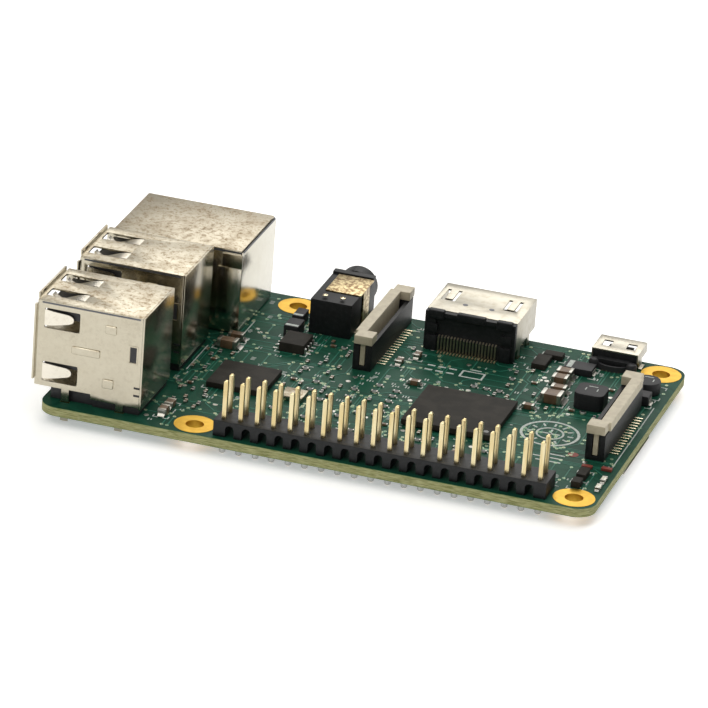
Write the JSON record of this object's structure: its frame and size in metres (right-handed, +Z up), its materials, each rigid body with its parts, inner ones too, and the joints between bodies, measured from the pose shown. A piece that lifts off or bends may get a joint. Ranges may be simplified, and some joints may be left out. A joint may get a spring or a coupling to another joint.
{
  "type": "single board computer",
  "caption": "Bare computer circuit board with a two-row pin header, stacked metal USB sockets, network, video, power and audio sockets and two flat-cable connectors.",
  "frame": {"origin": "centre of the four mounting holes, on the underside of the board", "axes": "+X along the board towards the USB and network sockets, +Y across it towards the pin header, +Z up out of the component side"},
  "size_m": [0.0871, 0.0585, 0.0193],
  "materials": {
    "solder_mask_laminate": "green solder mask over woven glass laminate",
    "gold_plate": "thin gold over copper",
    "black_moulding": "glass-filled black moulding",
    "gold_pin": "pale gold flash",
    "tin_plate": "tinned steel with flux stains",
    "nickel_plate": "bright nickel",
    "contact_metal": "tinned or gold-flashed bronze strip",
    "cream_moulding": "heat-resistant cream moulding",
    "card_slide_moulding": "black moulding",
    "spring_wire": "drawn wire",
    "chip_epoxy": "moulding compound with ground top",
    "solder": "reflowed solder",
    "magnetics_board": "small laminate and ferrite rings",
    "light_pipe": "clear moulding",
    "capacitor_ceramic": "fired ceramic with tinned ends",
    "resistor_film": "dark film on a white chip with tinned ends",
    "tantalum_case": "moulded case with a polarity bar",
    "crystal_can": "seam-welded lid",
    "lamp_lens": "clear lens over a chip"
  },
  "bodies": {
    "board": {"camera_connector_contacts": "contact_metal", "camera_connector_housing": "black_moulding", "card_ejector_spring": "spring_wire", "card_socket_base": "black_moulding", "card_socket_contacts": "contact_metal", "card_socket_shell": "nickel_plate", "ceramic_capacitors": "capacitor_ceramic", "chip_leads": "contact_metal", "circuit_board": "solder_mask_laminate", "crystal_oscillator": "crystal_can", "display_connector_contacts": "contact_metal", "display_connector_housing": "black_moulding", "ethernet_back_cover": "tin_plate", "ethernet_contacts": "contact_metal", "ethernet_housing": "black_moulding", "ethernet_light_pipes": "light_pipe", "ethernet_magnetics": "magnetics_board", "ethernet_pins": "contact_metal", "ethernet_shell": "tin_plate", "header_housing": "black_moulding", "header_pins": "gold_pin", "hub_chip": "chip_epoxy", "jack_housing": "black_moulding", "jack_sleeve_plate": "nickel_plate", "jack_spring_contacts": "contact_metal", "memory_chip": "chip_epoxy", "memory_solder_balls": "solder", "plated_mounting_holes": "gold_plate", "power_contacts": "contact_metal", "power_inductors": "chip_epoxy", "power_insulator": "black_moulding", "power_shell": "nickel_plate", "processor": "chip_epoxy", "processor_solder_balls": "solder", "resettable_fuse": "chip_epoxy", "resistors": "resistor_film", "small_chips": "chip_epoxy", "status_lights": "lamp_lens", "surge_diode": "chip_epoxy", "tantalum_capacitors": "tantalum_case", "usb_a_back_cover": "tin_plate", "usb_a_contacts": "contact_metal", "usb_a_insulator": "black_moulding", "usb_a_middle_shield": "nickel_plate", "usb_a_shell": "tin_plate", "usb_b_back_cover": "tin_plate", "usb_b_contacts": "contact_metal", "usb_b_insulator": "black_moulding", "usb_b_middle_shield": "nickel_plate", "usb_b_shell": "tin_plate", "video_contacts": "contact_metal", "video_insulator": "black_moulding", "video_shell": "nickel_plate"},
    "camera_actuator": {"camera_actuator": "cream_moulding"},
    "display_actuator": {"display_actuator": "cream_moulding"},
    "card_ejector": {"card_ejector": "card_slide_moulding"}
  },
  "joints": [
    {"name": "camera_actuator_slide", "type": "slide", "parent": "board", "child": "camera_actuator", "axis": [0, 0, 1], "range_m": [0, 0.0015]},
    {"name": "display_actuator_slide", "type": "slide", "parent": "board", "child": "display_actuator", "axis": [0, 0, 1], "range_m": [0, 0.0015]},
    {"name": "card_ejector_slide", "type": "slide", "parent": "board", "child": "card_ejector", "axis": [1, 0, 0], "range_m": [0, 0.0015], "stiffness_N_per_m": 200, "deforming": ["card_ejector_spring"]}
  ]
}
